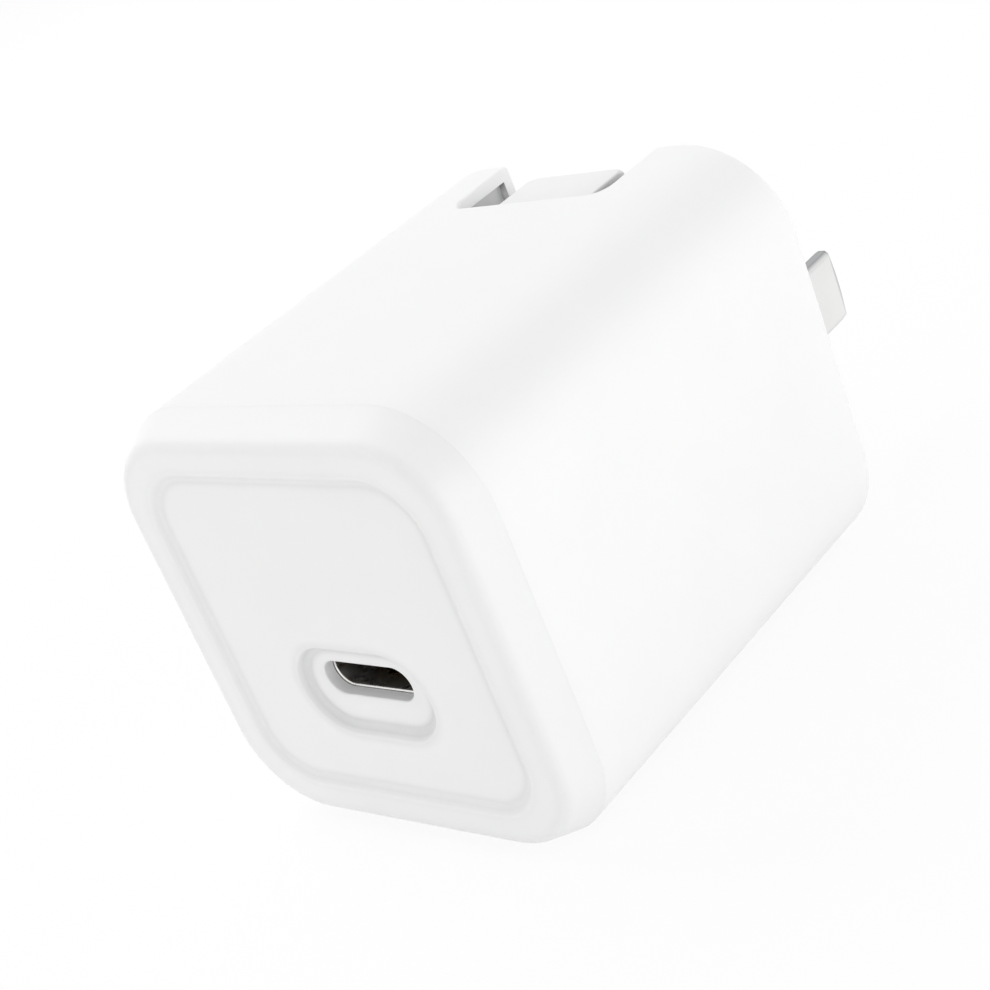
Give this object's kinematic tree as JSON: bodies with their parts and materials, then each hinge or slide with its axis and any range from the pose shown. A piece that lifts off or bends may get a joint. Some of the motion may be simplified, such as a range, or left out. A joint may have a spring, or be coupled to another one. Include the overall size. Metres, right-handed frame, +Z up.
{
  "type": "laptop power adapter",
  "caption": "Compact square wall charger with a bevelled front, a sunken panel with a USB-C port, and a two-blade mains plug that folds up into slots in the back and top.",
  "frame": {"origin": "centre of the flat underside, midway between the front rim and the rear face", "axes": "+X to the right seen from the port, +Y from the port towards the plug, +Z up from the underside to the top face that the plug folds into"},
  "size_m": [0.035, 0.0596, 0.035],
  "materials": {
    "casing_white": "moulded polycarbonate, smooth",
    "carrier_white": "moulded nylon, satin",
    "blade_nickel": "nickel-plated brass, bright",
    "steel": "plain steel",
    "shell_steel": "nickel-plated sheet",
    "spring_copper": "beryllium copper strip",
    "contact_gold": "gold plated",
    "wire_brown": "wire insulation",
    "wire_blue": "wire insulation",
    "board_green": "glass-epoxy board, green lacquer",
    "chip_black": "moulded epoxy",
    "tongue_black": "liquid crystal polymer",
    "ceramic_tan": "sintered ceramic",
    "can_sleeve": "aluminium can in a shrink sleeve",
    "can_bare": "bare aluminium can",
    "fuse_body": "ceramic tube",
    "disc_green": "dipped epoxy",
    "disc_orange": "dipped epoxy",
    "disc_blue": "dipped epoxy",
    "xcap_yellow": "moulded box",
    "ferrite": "ground ferrite",
    "copper_wire": "enamelled copper wire",
    "bobbin_black": "moulded phenolic",
    "tape_yellow": "polyester tape",
    "barrier_film": "polycarbonate film",
    "spreader": "rolled sheet"
  },
  "bodies": {
    "charger_body": {"housing": "casing_white", "front_cap": "casing_white", "plug_cradle": "casing_white", "cradle_screws": "steel", "hinge_pin": "steel", "contact_spring_left": "spring_copper", "contact_spring_right": "spring_copper", "live_lead": "wire_brown", "neutral_lead": "wire_blue", "main_board": "board_green", "usb_board": "board_green", "board_link_pins": "contact_gold", "usb_shell": "shell_steel", "usb_tongue": "tongue_black", "usb_contacts": "contact_gold", "pd_controller": "chip_black", "output_switch": "chip_black", "chip_resistors": "chip_black", "ceramic_capacitors": "ceramic_tan", "output_capacitors": "can_bare", "optocoupler": "chip_black", "sync_rectifier": "chip_black", "gan_switch": "chip_black", "bridge_rectifier": "chip_black", "fuse": "fuse_body", "thermistor": "disc_green", "varistor": "disc_orange", "x_capacitor": "xcap_yellow", "choke_core": "ferrite", "choke_windings": "copper_wire", "bulk_capacitors": "can_sleeve", "transformer_core_lower": "ferrite", "transformer_core_upper": "ferrite", "transformer_bobbin": "bobbin_black", "transformer_winding": "copper_wire", "transformer_tape": "tape_yellow", "y_capacitor": "disc_blue", "insulation_barrier": "barrier_film", "heat_spreader": "spreader"},
    "plug": {"plug_carrier": "carrier_white", "blade_left": "blade_nickel", "blade_right": "blade_nickel"}
  },
  "joints": [
    {"name": "plug_fold", "type": "hinge", "parent": "charger_body", "child": "plug", "pos_m": [0, 0.0174, 0.0128], "axis": [1, 0, 0], "range_deg": [0, 90]}
  ]
}
